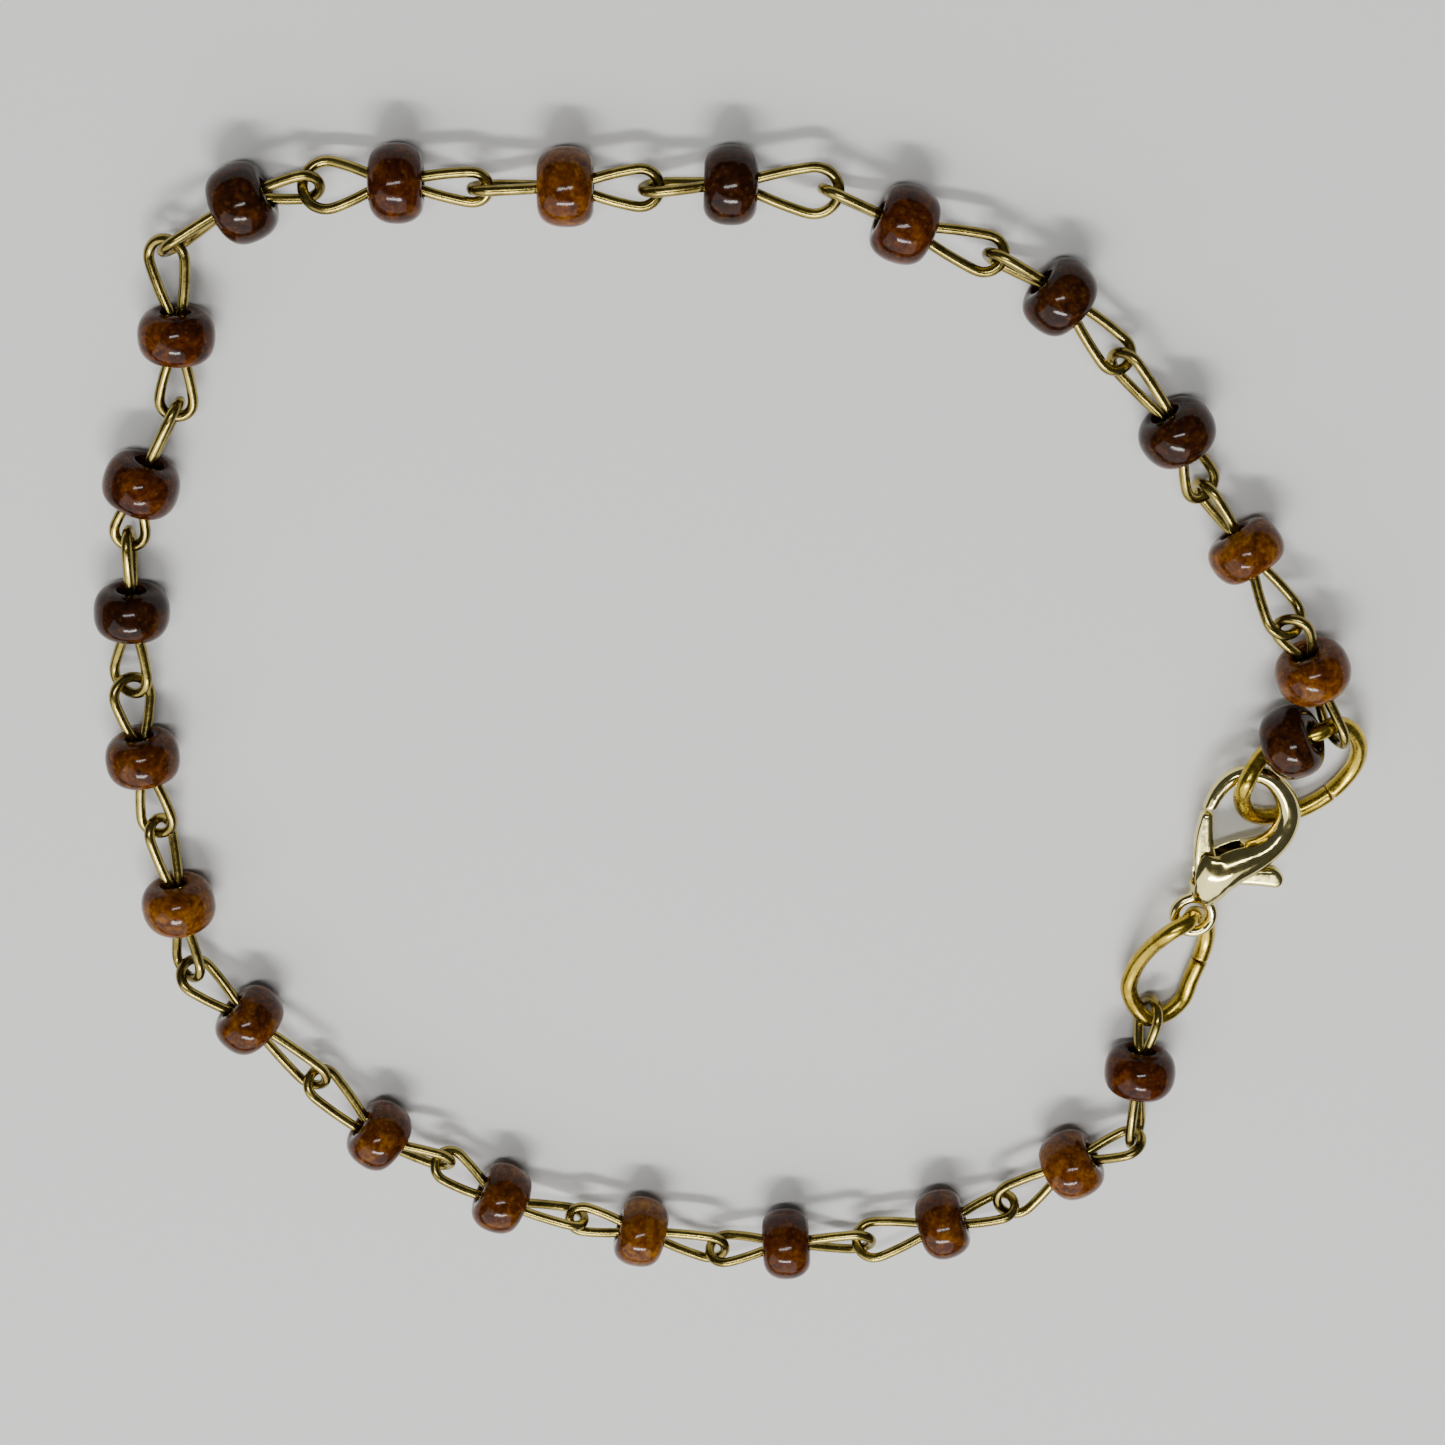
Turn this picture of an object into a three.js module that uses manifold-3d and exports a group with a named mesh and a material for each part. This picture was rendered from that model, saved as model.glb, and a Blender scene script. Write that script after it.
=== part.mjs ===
// Bracelet of drilled glass beads on wire links, closed by two jump rings and a lobster clasp.
// Millimetres, +Z up. It lies flat as a closed loop and rests on the underside of its beads.
import * as THREE from 'three';
import { mergeVertices } from 'three/addons/utils/BufferGeometryUtils.js';
import ManifoldModule from 'manifold-3d';

const wasm = await ManifoldModule();
wasm.setup();

// Bead
const BEAD_DIAMETER = 4.0;
const BEAD_LENGTH = 2.66;
const BORE_DIAMETER = 1.5;
const BEAD_SIDES = 12;
const BEAD_ARC_STEPS = 5;
const BEAD_ARC_END = 74;

// Wire link
const WIRE_DIAMETER = 0.55;
const WIRE_SIDES = 6;
const STRAND_OFFSET = 0.33;
const WIRE_END_GAP = 0.3;
const LOOP_REACH = 0.45;
const LOOP_ARC_STEPS = 7;
const MOUTH_INSET = 0.15;

// Jump ring
const RING_WIRE_DIAMETER = 0.9;
const RING_SIDES = 8;
const RING_STEPS = 30;
const RING_SPLIT = 0.1;

// Lobster clasp
const CLASP_PLACE = { x: 25.4, y: -10.5, z: 1.9, heading: 69 };
const EYE_HOLE = 1.45;
const EYE_BAND = 0.55;
const LOBE = { x: 2.7, y: 0.2, length: 2.9, width: 2.8, thick: 2.2 };
const SLOT = { start: 1.8, end: 4.45, width: 1.04 };
const PIVOT = { x: 2.6, y: 0.15, pin: 0.35, hole: 0.45 };
const PIN_LENGTH = 2.0;
const LEVER_THICKNESS = 0.84;
const CLAW_SIDES = 10;

const BRASS = 0x8f7d45;
const GOLD = 0xc2a254;
const PALE_GOLD = 0xd9cfa3;
const GLASS = 0x4a1d0c;

// Where neighbouring loops hang in each other, from the upper ring round to the lower ring.
const MEETS = [
  { x: 32.3, y: 0.2, z: 2.2 },
  { x: 29.2, y: 6.8, z: 3.0 },
  { x: 24.6, y: 13.6, z: 1.15 },
  { x: 20.0, y: 20.7, z: 1.7 },
  { x: 13.5, y: 26.0, z: 1.7 },
  { x: 5.3, y: 29.3, z: 1.7 },
  { x: -3.5, y: 29.5, z: 1.7 },
  { x: -11.9, y: 29.5, z: 1.7 },
  { x: -20.2, y: 29.6, z: 1.7 },
  { x: -27.3, y: 26.5, z: 1.7 },
  { x: -27.6, y: 18.1, z: 1.7 },
  { x: -30.5, y: 11.1, z: 1.7 },
  { x: -31.0, y: 2.9, z: 1.7 },
  { x: -30.1, y: -5.3, z: 1.7 },
  { x: -29.0, y: -14.0, z: 1.7 },
  { x: -22.4, y: -20.8, z: 1.7 },
  { x: -15.6, y: -26.1, z: 1.7 },
  { x: -8.2, y: -29.8, z: 1.7 },
  { x: -0.3, y: -31.9, z: 1.7 },
  { x: 8.0, y: -31.4, z: 1.7 },
  { x: 16.0, y: -28.9, z: 1.7 },
  { x: 22.9, y: -24.5, z: 2.1 },
  { x: 23.5, y: -16.6, z: 1.1 },
];

// One row per wire link: its bead's middle, the turn of its two loops in degrees about the
// wire (0 lies flat, 90 stands on edge), and their outer widths. A lift raises a bead that
// rides on its neighbours.
const LINKS = [
  { bead: 2, x: 30.7, y: 4.0, turnIn: 70, turnOut: 25, wideIn: 2.6, wideOut: 2.4, lift: 0.6 },
  { bead: 3, x: 26.9, y: 10.5, turnIn: -38, turnOut: 65, wideIn: 2.7, wideOut: 2.4, lift: 0 },
  { bead: 4, x: 23.0, y: 16.9, turnIn: -25, turnOut: 45, wideIn: 2.4, wideOut: 2.3, lift: 0 },
  { bead: 5, x: 16.8, y: 24.0, turnIn: -20, turnOut: 65, wideIn: 2.3, wideOut: 2.3, lift: 0 },
  { bead: 6, x: 9.0, y: 27.7, turnIn: 0, turnOut: 75, wideIn: 2.5, wideOut: 2.3, lift: 0 },
  { bead: 7, x: 0.4, y: 29.7, turnIn: 5, turnOut: 90, wideIn: 3.0, wideOut: 2.3, lift: 0 },
  { bead: 8, x: -7.7, y: 29.6, turnIn: 0, turnOut: 85, wideIn: 2.5, wideOut: 2.3, lift: 0 },
  { bead: 9, x: -16.0, y: 29.8, turnIn: 10, turnOut: -30, wideIn: 2.2, wideOut: 3.0, lift: 0 },
  { bead: 10, x: -23.6, y: 28.8, turnIn: 32, turnOut: 72, wideIn: 2.2, wideOut: 2.5, lift: 0 },
  { bead: 11, x: -27.3, y: 22.0, turnIn: -20, turnOut: 0, wideIn: 2.6, wideOut: 2.3, lift: 0 },
  { bead: 12, x: -29.6, y: 14.1, turnIn: 85, turnOut: 0, wideIn: 2.2, wideOut: 2.2, lift: 0 },
  { bead: 13, x: -30.6, y: 7.1, turnIn: 90, turnOut: -28, wideIn: 2.2, wideOut: 2.7, lift: 0 },
  { bead: 14, x: -30.6, y: -1.2, turnIn: 32, turnOut: -10, wideIn: 2.6, wideOut: 2.3, lift: 0 },
  { bead: 15, x: -29.3, y: -9.9, turnIn: 55, turnOut: -42, wideIn: 2.2, wideOut: 2.5, lift: 0 },
  { bead: 16, x: -25.9, y: -17.0, turnIn: 52, turnOut: -25, wideIn: 2.5, wideOut: 2.4, lift: 0 },
  { bead: 17, x: -19.1, y: -24.3, turnIn: 40, turnOut: -35, wideIn: 2.3, wideOut: 2.2, lift: 0 },
  { bead: 18, x: -12.4, y: -28.4, turnIn: 36, turnOut: 85, wideIn: 2.3, wideOut: 2.2, lift: 0 },
  { bead: 19, x: -4.6, y: -30.6, turnIn: 5, turnOut: -18, wideIn: 2.1, wideOut: 2.4, lift: 0 },
  { bead: 20, x: 3.6, y: -31.4, turnIn: 65, turnOut: -35, wideIn: 2.4, wideOut: 2.6, lift: 0 },
  { bead: 21, x: 12.4, y: -30.1, turnIn: 36, turnOut: 62, wideIn: 2.6, wideOut: 2.2, lift: 0 },
  { bead: 22, x: 19.5, y: -26.2, turnIn: -3, turnOut: 75, wideIn: 2.6, wideOut: 2.4, lift: 0 },
  { bead: 23, x: 23.0, y: -20.2, turnIn: 115, turnOut: 70, wideIn: 2.4, wideOut: 2.6, lift: 0 },
];

// Loops that hang off the middle of their neighbour, where the chain turns a sharp corner.
const CORNERS = [
  { bead: 11, x: -0.3, y: 0.0, z: 0.0 },
  { bead: 23, x: 0.1, y: 0.0, z: -0.55 },
];

// The bead that is threaded straight on the upper ring.
const RING_BEAD = { x: 29.9, y: 0.0, z: 2.55 };

// Middle line of each jump ring, from its split round.
const UPPER_RING = [
  { x: 32.5, y: -3.8, z: 0.6 },
  { x: 33.6, y: -2.2, z: 0.8 },
  { x: 33.7, y: -0.8, z: 1.3 },
  { x: 33.1, y: 0.4, z: 1.9 },
  { x: 32.2, y: 0.9, z: 2.3 },
  { x: 31.2, y: 0.7, z: 2.5 },
  { x: 28.6, y: -0.7, z: 2.6 },
  { x: 27.6, y: -2.0, z: 3.1 },
  { x: 27.5, y: -3.4, z: 2.4 },
  { x: 28.2, y: -4.7, z: 1.4 },
  { x: 29.4, y: -5.2, z: 0.7 },
  { x: 31.0, y: -4.8, z: 0.6 },
];
const LOWER_RING = [
  { x: 26.1, y: -13.9, z: 0.6 },
  { x: 25.7, y: -15.1, z: 0.6 },
  { x: 25.3, y: -16.4, z: 0.6 },
  { x: 24.4, y: -17.2, z: 0.8 },
  { x: 23.4, y: -17.3, z: 1.1 },
  { x: 22.6, y: -16.4, z: 1.2 },
  { x: 22.2, y: -15.2, z: 1.4 },
  { x: 22.5, y: -13.8, z: 1.6 },
  { x: 23.2, y: -12.3, z: 2.2 },
  { x: 24.1, y: -11.1, z: 2.8 },
  { x: 25.0, y: -10.6, z: 2.6 },
  { x: 25.4, y: -10.5, z: 1.9 },
  { x: 25.7, y: -10.8, z: 1.3 },
  { x: 26.2, y: -11.3, z: 0.9 },
  { x: 26.4, y: -12.5, z: 0.6 },
];

// Sections of the claw in the clasp's own plane, from the hook's tip round to the eye.
const CLAW = [
  { x: 6.0, y: 1.95, wide: 0.5, thick: 0.8 },
  { x: 7.3, y: 1.88, wide: 0.62, thick: 0.86 },
  { x: 8.3, y: 1.45, wide: 0.72, thick: 0.9 },
  { x: 9.0, y: 0.55, wide: 0.82, thick: 0.95 },
  { x: 9.05, y: -0.6, wide: 0.95, thick: 1.0 },
  { x: 8.5, y: -1.65, wide: 1.1, thick: 1.1 },
  { x: 7.4, y: -2.3, wide: 1.3, thick: 1.2 },
  { x: 6.1, y: -2.35, wide: 1.35, thick: 1.3 },
  { x: 5.0, y: -1.95, wide: 1.45, thick: 1.6 },
  { x: 4.0, y: -1.35, wide: 1.7, thick: 2.0 },
  { x: 3.0, y: -0.75, wide: 2.0, thick: 2.2 },
  { x: 2.0, y: -0.3, wide: 1.8, thick: 2.0 },
  { x: 1.2, y: -0.1, wide: 1.2, thick: 1.3 },
  { x: 0.8, y: 0.0, wide: 0.8, thick: 0.7 },
];

// Outline of the lever: the gate's outer edge, round the pivot, the thumb tab and back.
const LEVER_OUTLINE = [
  { x: 5.86, y: 2.15 },
  { x: 4.8, y: 2.06 },
  { x: 3.8, y: 1.8 },
  { x: 2.9, y: 1.3 },
  { x: 2.15, y: 0.75 },
  { x: 1.95, y: 0.1 },
  { x: 2.2, y: -0.6 },
  { x: 2.7, y: -1.5 },
  { x: 3.0, y: -2.4 },
  { x: 3.5, y: -3.25 },
  { x: 3.8, y: -3.5 },
  { x: 4.1, y: -3.45 },
  { x: 4.2, y: -3.1 },
  { x: 3.95, y: -2.4 },
  { x: 3.7, y: -1.6 },
  { x: 3.45, y: -0.8 },
  { x: 3.45, y: -0.1 },
  { x: 3.7, y: 0.5 },
  { x: 4.2, y: 1.0 },
  { x: 5.0, y: 1.38 },
  { x: 5.86, y: 1.62 },
];

const UP = new THREE.Vector3(0, 0, 1);
const degrees = THREE.MathUtils.degToRad;
const point = (row) => new THREE.Vector3(row.x, row.y, row.z);

// A middle line whose stops are used as they are, so that short bends get more of them.
class StopLine extends THREE.Curve {
  constructor(stops) {
    super();
    this.stops = stops;
  }

  getPoint(t, target = new THREE.Vector3()) {
    const last = this.stops.length - 1;
    const place = THREE.MathUtils.clamp(t * last, 0, last);
    const low = Math.min(Math.floor(place + 1e-6), last - 1);
    return target.lerpVectors(this.stops[low], this.stops[low + 1], place - low);
  }

  getPointAt(t, target) {
    return this.getPoint(t, target);
  }

  getTangentAt(t, target = new THREE.Vector3()) {
    const last = this.stops.length - 1;
    const index = Math.round(t * last);
    const before = this.stops[Math.max(index - 1, 0)];
    const after = this.stops[Math.min(index + 1, last)];
    return target.subVectors(after, before).normalize();
  }
}

// A round bar along a line of stops, as a prism with a few sides.
function sweep(stops, diameter, sides) {
  const corners = [];
  for (let i = 0; i < sides; i += 1) {
    const angle = (i / sides) * Math.PI * 2;
    corners.push(new THREE.Vector2(Math.cos(angle), Math.sin(angle)).multiplyScalar(diameter / 2));
  }
  return new THREE.ExtrudeGeometry(new THREE.Shape(corners), {
    steps: stops.length - 1,
    extrudePath: new StopLine(stops),
    bevelEnabled: false,
  });
}

// Drilled bead about its own Y axis, with a flat facet turned to the table.
function beadGeometry() {
  const bulge = BEAD_LENGTH / 2;
  const middle = BEAD_DIAMETER / 2 - bulge;
  const bore = BORE_DIAMETER / 2;
  const profile = [];
  for (let i = 0; i <= BEAD_ARC_STEPS; i += 1) {
    const angle = degrees(-BEAD_ARC_END + (2 * BEAD_ARC_END * i) / BEAD_ARC_STEPS);
    profile.push(new THREE.Vector2(middle + bulge * Math.cos(angle), bulge * Math.sin(angle)));
  }
  const mouth = bulge - 0.25;
  profile.push(new THREE.Vector2(bore, mouth));
  profile.push(new THREE.Vector2(bore, -mouth));
  profile.push(profile[0].clone());
  return new THREE.LatheGeometry(profile, BEAD_SIDES, Math.PI / BEAD_SIDES);
}

// Axes of a bead: along its hole, level across it, and up.
function beadAxes(from, to) {
  const along = new THREE.Vector3().subVectors(to, from).normalize();
  const across = new THREE.Vector3().crossVectors(along, UP).normalize();
  const up = new THREE.Vector3().crossVectors(across, along);
  return { along, across, up };
}

function placedBead(middle, axes) {
  const geometry = beadGeometry();
  const { along, across, up } = axes;
  geometry.applyMatrix4(new THREE.Matrix4().makeBasis(across, along, up));
  geometry.translate(middle.x, middle.y, middle.z);
  return geometry;
}

// Height of a bead's middle when its lowest facet lies on the table.
function restingHeight(axes) {
  const geometry = placedBead(new THREE.Vector3(), axes);
  geometry.computeBoundingBox();
  return -geometry.boundingBox.min.z;
}

function turned(axes, angle) {
  const flat = axes.across.clone().multiplyScalar(Math.cos(angle));
  return flat.addScaledVector(axes.up, Math.sin(angle));
}

// Teardrop loop from a bead's mouth out to a meeting point: two straight legs and a round end.
function loopStops(mouth, meet, side, width) {
  const forward = new THREE.Vector3().subVectors(meet, mouth);
  const reach = forward.length() + LOOP_REACH;
  forward.normalize();
  const across = side.clone().addScaledVector(forward, -side.dot(forward)).normalize();
  const radius = (width - WIRE_DIAMETER) / 2;
  const centre = reach - radius;
  const flare = Math.asin((radius - STRAND_OFFSET) / centre);
  const at = (x, y) => mouth.clone().addScaledVector(forward, x).addScaledVector(across, y);
  const start = [-STRAND_OFFSET * Math.sin(flare), STRAND_OFFSET * Math.cos(flare)];
  const sweepEnd = Math.PI / 2 + flare;
  const arc = [];
  for (let i = 0; i <= LOOP_ARC_STEPS; i += 1) {
    const angle = sweepEnd - (2 * sweepEnd * i) / LOOP_ARC_STEPS;
    arc.push([centre + radius * Math.cos(angle), radius * Math.sin(angle)]);
  }
  const leg = [(start[0] + arc[0][0]) / 2, (start[1] + arc[0][1]) / 2 + 0.04];
  const flat = [start, leg, ...arc, [leg[0], -leg[1]], [start[0], -start[1]]];
  return flat.map(([x, y]) => at(x, y));
}

// Whole wire of a link: out along one strand, round a loop, back along the other strand,
// round the second loop and home, with its two ends facing each other inside the bead.
function linkStops(middle, axes, meetIn, meetOut, row) {
  const half = BEAD_LENGTH / 2 - MOUTH_INSET;
  const turnIn = degrees(row.turnIn);
  const swing = ((((row.turnOut - row.turnIn + 90) % 180) + 180) % 180) - 90;
  const turnAt = (x) => turnIn + degrees(swing) * (x / (2 * half) + 0.5);
  const strand = (x, sign) => middle.clone()
    .addScaledVector(axes.along, x)
    .addScaledVector(turned(axes, turnAt(x)), sign * STRAND_OFFSET);
  const outMouth = middle.clone().addScaledVector(axes.along, half);
  const inMouth = middle.clone().addScaledVector(axes.along, -half);
  const outLoop = loopStops(outMouth, meetOut, turned(axes, turnAt(half)), row.wideOut);
  const inLoop = loopStops(inMouth, meetIn, turned(axes, turnAt(-half)).negate(), row.wideIn);
  return [
    strand(WIRE_END_GAP / 2, 1),
    strand(half * 0.6, 1),
    ...outLoop,
    strand(half * 0.5, -1),
    strand(0, -1),
    strand(-half * 0.5, -1),
    ...inLoop,
    strand(-half * 0.6, 1),
    strand(-WIRE_END_GAP / 2, 1),
  ];
}

function ringStops(rows) {
  const curve = new THREE.CatmullRomCurve3(rows.map(point), true, 'centripetal');
  const gap = RING_SPLIT / curve.getLength() / 2;
  const stops = [];
  for (let i = 0; i <= RING_STEPS; i += 1) {
    stops.push(curve.getPointAt(gap + ((1 - 2 * gap) * i) / RING_STEPS));
  }
  return stops;
}

// Oval bar through a row of sections that all stand on the clasp's middle plane.
function claw() {
  const line = new THREE.CatmullRomCurve3(CLAW.map((row) => new THREE.Vector3(row.x, row.y, 0)));
  const positions = [];
  const faces = [];
  CLAW.forEach((row, i) => {
    const tangent = line.getTangent(i / (CLAW.length - 1));
    for (let k = 0; k < CLAW_SIDES; k += 1) {
      const angle = ((k + 0.5) / CLAW_SIDES) * Math.PI * 2;
      const out = (row.wide / 2) * Math.cos(angle);
      const high = (row.thick / 2) * Math.sin(angle);
      positions.push(row.x - tangent.y * out, row.y + tangent.x * out, high);
    }
  });
  const corner = (i, k) => i * CLAW_SIDES + (k % CLAW_SIDES);
  for (let i = 0; i < CLAW.length - 1; i += 1) {
    for (let k = 0; k < CLAW_SIDES; k += 1) {
      faces.push(corner(i, k), corner(i, k + 1), corner(i + 1, k + 1));
      faces.push(corner(i, k), corner(i + 1, k + 1), corner(i + 1, k));
    }
  }
  for (let k = 1; k < CLAW_SIDES - 1; k += 1) {
    faces.push(corner(0, 0), corner(0, k + 1), corner(0, k));
    faces.push(corner(CLAW.length - 1, 0), corner(CLAW.length - 1, k), corner(CLAW.length - 1, k + 1));
  }
  const geometry = new THREE.BufferGeometry();
  geometry.setAttribute('position', new THREE.Float32BufferAttribute(positions, 3));
  geometry.setIndex(faces);
  return geometry;
}

function solid(geometry) {
  const bare = geometry.clone();
  bare.deleteAttribute('normal');
  bare.deleteAttribute('uv');
  const welded = mergeVertices(bare, 1e-4);
  return new wasm.Manifold(new wasm.Mesh({
    numProp: 3,
    vertProperties: new Float32Array(welded.attributes.position.array),
    triVerts: new Uint32Array(welded.index.array),
  }));
}

function geometryOf(body) {
  const mesh = body.getMesh();
  const geometry = new THREE.BufferGeometry();
  geometry.setAttribute('position', new THREE.BufferAttribute(new Float32Array(mesh.vertProperties), 3));
  geometry.setIndex(new THREE.BufferAttribute(new Uint32Array(mesh.triVerts), 1));
  geometry.computeVertexNormals();
  return geometry;
}

function claspBody() {
  const eye = new THREE.TorusGeometry((EYE_HOLE + EYE_BAND) / 2, EYE_BAND / 2, 8, 16);
  const lobe = new THREE.SphereGeometry(0.5, 16, 10);
  lobe.rotateX(Math.PI / 2);
  lobe.scale(LOBE.length, LOBE.width, LOBE.thick);
  lobe.translate(LOBE.x, LOBE.y, 0);
  const slot = new THREE.BoxGeometry(SLOT.end - SLOT.start, 9, SLOT.width);
  slot.translate((SLOT.start + SLOT.end) / 2, 0, 0);
  const pin = new THREE.CylinderGeometry(PIVOT.pin, PIVOT.pin, PIN_LENGTH, 12);
  pin.rotateX(Math.PI / 2);
  pin.translate(PIVOT.x, PIVOT.y, 0);
  const casting = solid(claw()).add(solid(lobe)).add(solid(eye));
  return geometryOf(casting.subtract(solid(slot)).add(solid(pin)));
}

function claspLever() {
  const shape = new THREE.Shape(LEVER_OUTLINE.map((row) => new THREE.Vector2(row.x, row.y)));
  const hole = new THREE.Path();
  hole.absarc(PIVOT.x, PIVOT.y, PIVOT.hole, 0, Math.PI * 2, true);
  shape.holes.push(hole);
  const geometry = new THREE.ExtrudeGeometry(shape, {
    depth: LEVER_THICKNESS,
    bevelEnabled: false,
    curveSegments: 8,
  });
  geometry.translate(0, 0, -LEVER_THICKNESS / 2);
  return geometry;
}

function named(name, geometry, colour, metalness, roughness) {
  const material = new THREE.MeshStandardMaterial({ color: colour, metalness, roughness });
  const mesh = new THREE.Mesh(geometry, material);
  mesh.name = name;
  return mesh;
}

const label = (number) => String(number).padStart(2, '0');
const bracelet = new THREE.Group();
bracelet.name = 'beaded_wire_bracelet';

const ringBeadAxes = beadAxes(point(UPPER_RING[5]), point(UPPER_RING[6]));
bracelet.add(named('bead_01', placedBead(point(RING_BEAD), ringBeadAxes), GLASS, 0, 0.15));

LINKS.forEach((row, i) => {
  const meetIn = point(MEETS[i]);
  const meetOut = point(MEETS[i + 1]);
  const axes = beadAxes(meetIn, meetOut);
  const middle = new THREE.Vector3(row.x, row.y, restingHeight(axes) + row.lift);
  CORNERS.filter((corner) => corner.bead === row.bead).forEach((corner) => meetIn.add(point(corner)));
  const wire = sweep(linkStops(middle, axes, meetIn, meetOut, row), WIRE_DIAMETER, WIRE_SIDES);
  bracelet.add(named(`bead_${label(row.bead)}`, placedBead(middle, axes), GLASS, 0, 0.15));
  bracelet.add(named(`link_${label(row.bead)}`, wire, BRASS, 1, 0.4));
});

const upperRing = sweep(ringStops(UPPER_RING), RING_WIRE_DIAMETER, RING_SIDES);
const lowerRing = sweep(ringStops(LOWER_RING), RING_WIRE_DIAMETER, RING_SIDES);
bracelet.add(named('ring_upper', upperRing, GOLD, 1, 0.3));
bracelet.add(named('ring_lower', lowerRing, GOLD, 1, 0.3));

const claspPlace = new THREE.Matrix4().makeRotationZ(degrees(CLASP_PLACE.heading));
claspPlace.setPosition(CLASP_PLACE.x, CLASP_PLACE.y, CLASP_PLACE.z);
bracelet.add(named('clasp_body', claspBody().applyMatrix4(claspPlace), PALE_GOLD, 1, 0.25));
bracelet.add(named('clasp_lever', claspLever().applyMatrix4(claspPlace), PALE_GOLD, 1, 0.25));

// The middle of the loop's box on the table is the origin.
bracelet.updateMatrixWorld(true);
const box = new THREE.Box3().setFromObject(bracelet, true);
const centre = box.getCenter(new THREE.Vector3());
bracelet.children.forEach((mesh) => mesh.geometry.translate(-centre.x, -centre.y, -box.min.z));

export default bracelet;
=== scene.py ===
"""Looks of a beaded wire bracelet, built over its fixed frame: glass beads, wire links, rings and clasp."""

import logging
import math
from collections.abc import Sequence
from dataclasses import dataclass, field
from enum import Enum
from typing import Any

import bpy
import numpy as np
from mathutils import Matrix, Vector, noise


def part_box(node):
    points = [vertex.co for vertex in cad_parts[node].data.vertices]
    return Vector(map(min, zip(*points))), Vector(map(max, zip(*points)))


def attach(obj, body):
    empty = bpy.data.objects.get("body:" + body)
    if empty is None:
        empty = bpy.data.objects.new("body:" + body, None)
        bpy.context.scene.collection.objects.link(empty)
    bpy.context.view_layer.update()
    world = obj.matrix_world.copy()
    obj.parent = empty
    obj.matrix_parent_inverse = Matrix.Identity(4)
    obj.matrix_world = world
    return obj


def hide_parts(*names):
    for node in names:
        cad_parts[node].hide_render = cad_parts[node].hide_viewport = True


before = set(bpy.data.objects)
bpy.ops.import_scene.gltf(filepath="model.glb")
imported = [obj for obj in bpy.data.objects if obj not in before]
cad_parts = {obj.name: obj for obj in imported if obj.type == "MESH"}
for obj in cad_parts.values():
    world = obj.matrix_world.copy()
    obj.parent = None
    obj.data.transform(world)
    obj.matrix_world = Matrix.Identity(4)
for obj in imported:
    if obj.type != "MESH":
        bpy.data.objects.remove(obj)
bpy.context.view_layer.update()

LOG = logging.getLogger("bracelet")
MM = 0.001
IMAGE_SIZE = 1445

Faces = list[tuple[int, ...]]
Shape = tuple[np.ndarray, Faces]


# ---------------------------------------------------------------- layout rows, in millimetres

class Tone(Enum):
    """Depth of colour that a bead's glass came out of the furnace with."""

    DEEP = "deep"
    RED = "red"
    BROWN = "brown"
    AMBER = "amber"


@dataclass(frozen=True)
class LinkRow:
    """One wire link and the bead it carries.

    The turns are the angles of the two loops about the bead's hole, in degrees from level, and the
    widths are the loops' outside widths. Length and girth scale the bead's own two sizes.
    """

    bead: int
    x: float
    y: float
    turn_in: float
    turn_out: float
    wide_in: float
    wide_out: float
    tone: Tone
    length: float = 1.0
    girth: float = 1.0


# Where neighbouring loops meet, from the upper ring round to the lower one.
MEETS = np.array((
    (32.3, 0.2, 2.2), (29.2, 6.8, 3.0), (24.6, 13.6, 1.15), (20.0, 20.7, 1.7), (13.5, 26.0, 1.7),
    (5.3, 29.3, 1.7), (-3.5, 29.5, 1.7), (-11.9, 29.5, 1.7), (-20.2, 29.6, 1.7), (-27.3, 26.5, 1.7),
    (-27.6, 18.1, 1.7), (-30.5, 11.1, 1.7), (-31.0, 2.9, 1.7), (-30.1, -5.3, 1.7), (-29.0, -14.0, 1.7),
    (-22.4, -20.8, 1.7), (-15.6, -26.1, 1.7), (-8.2, -29.8, 1.7), (-0.3, -31.9, 1.7), (8.0, -31.4, 1.7),
    (16.0, -28.9, 1.7), (22.9, -24.5, 2.1), (23.5, -16.6, 1.1),
))
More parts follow.
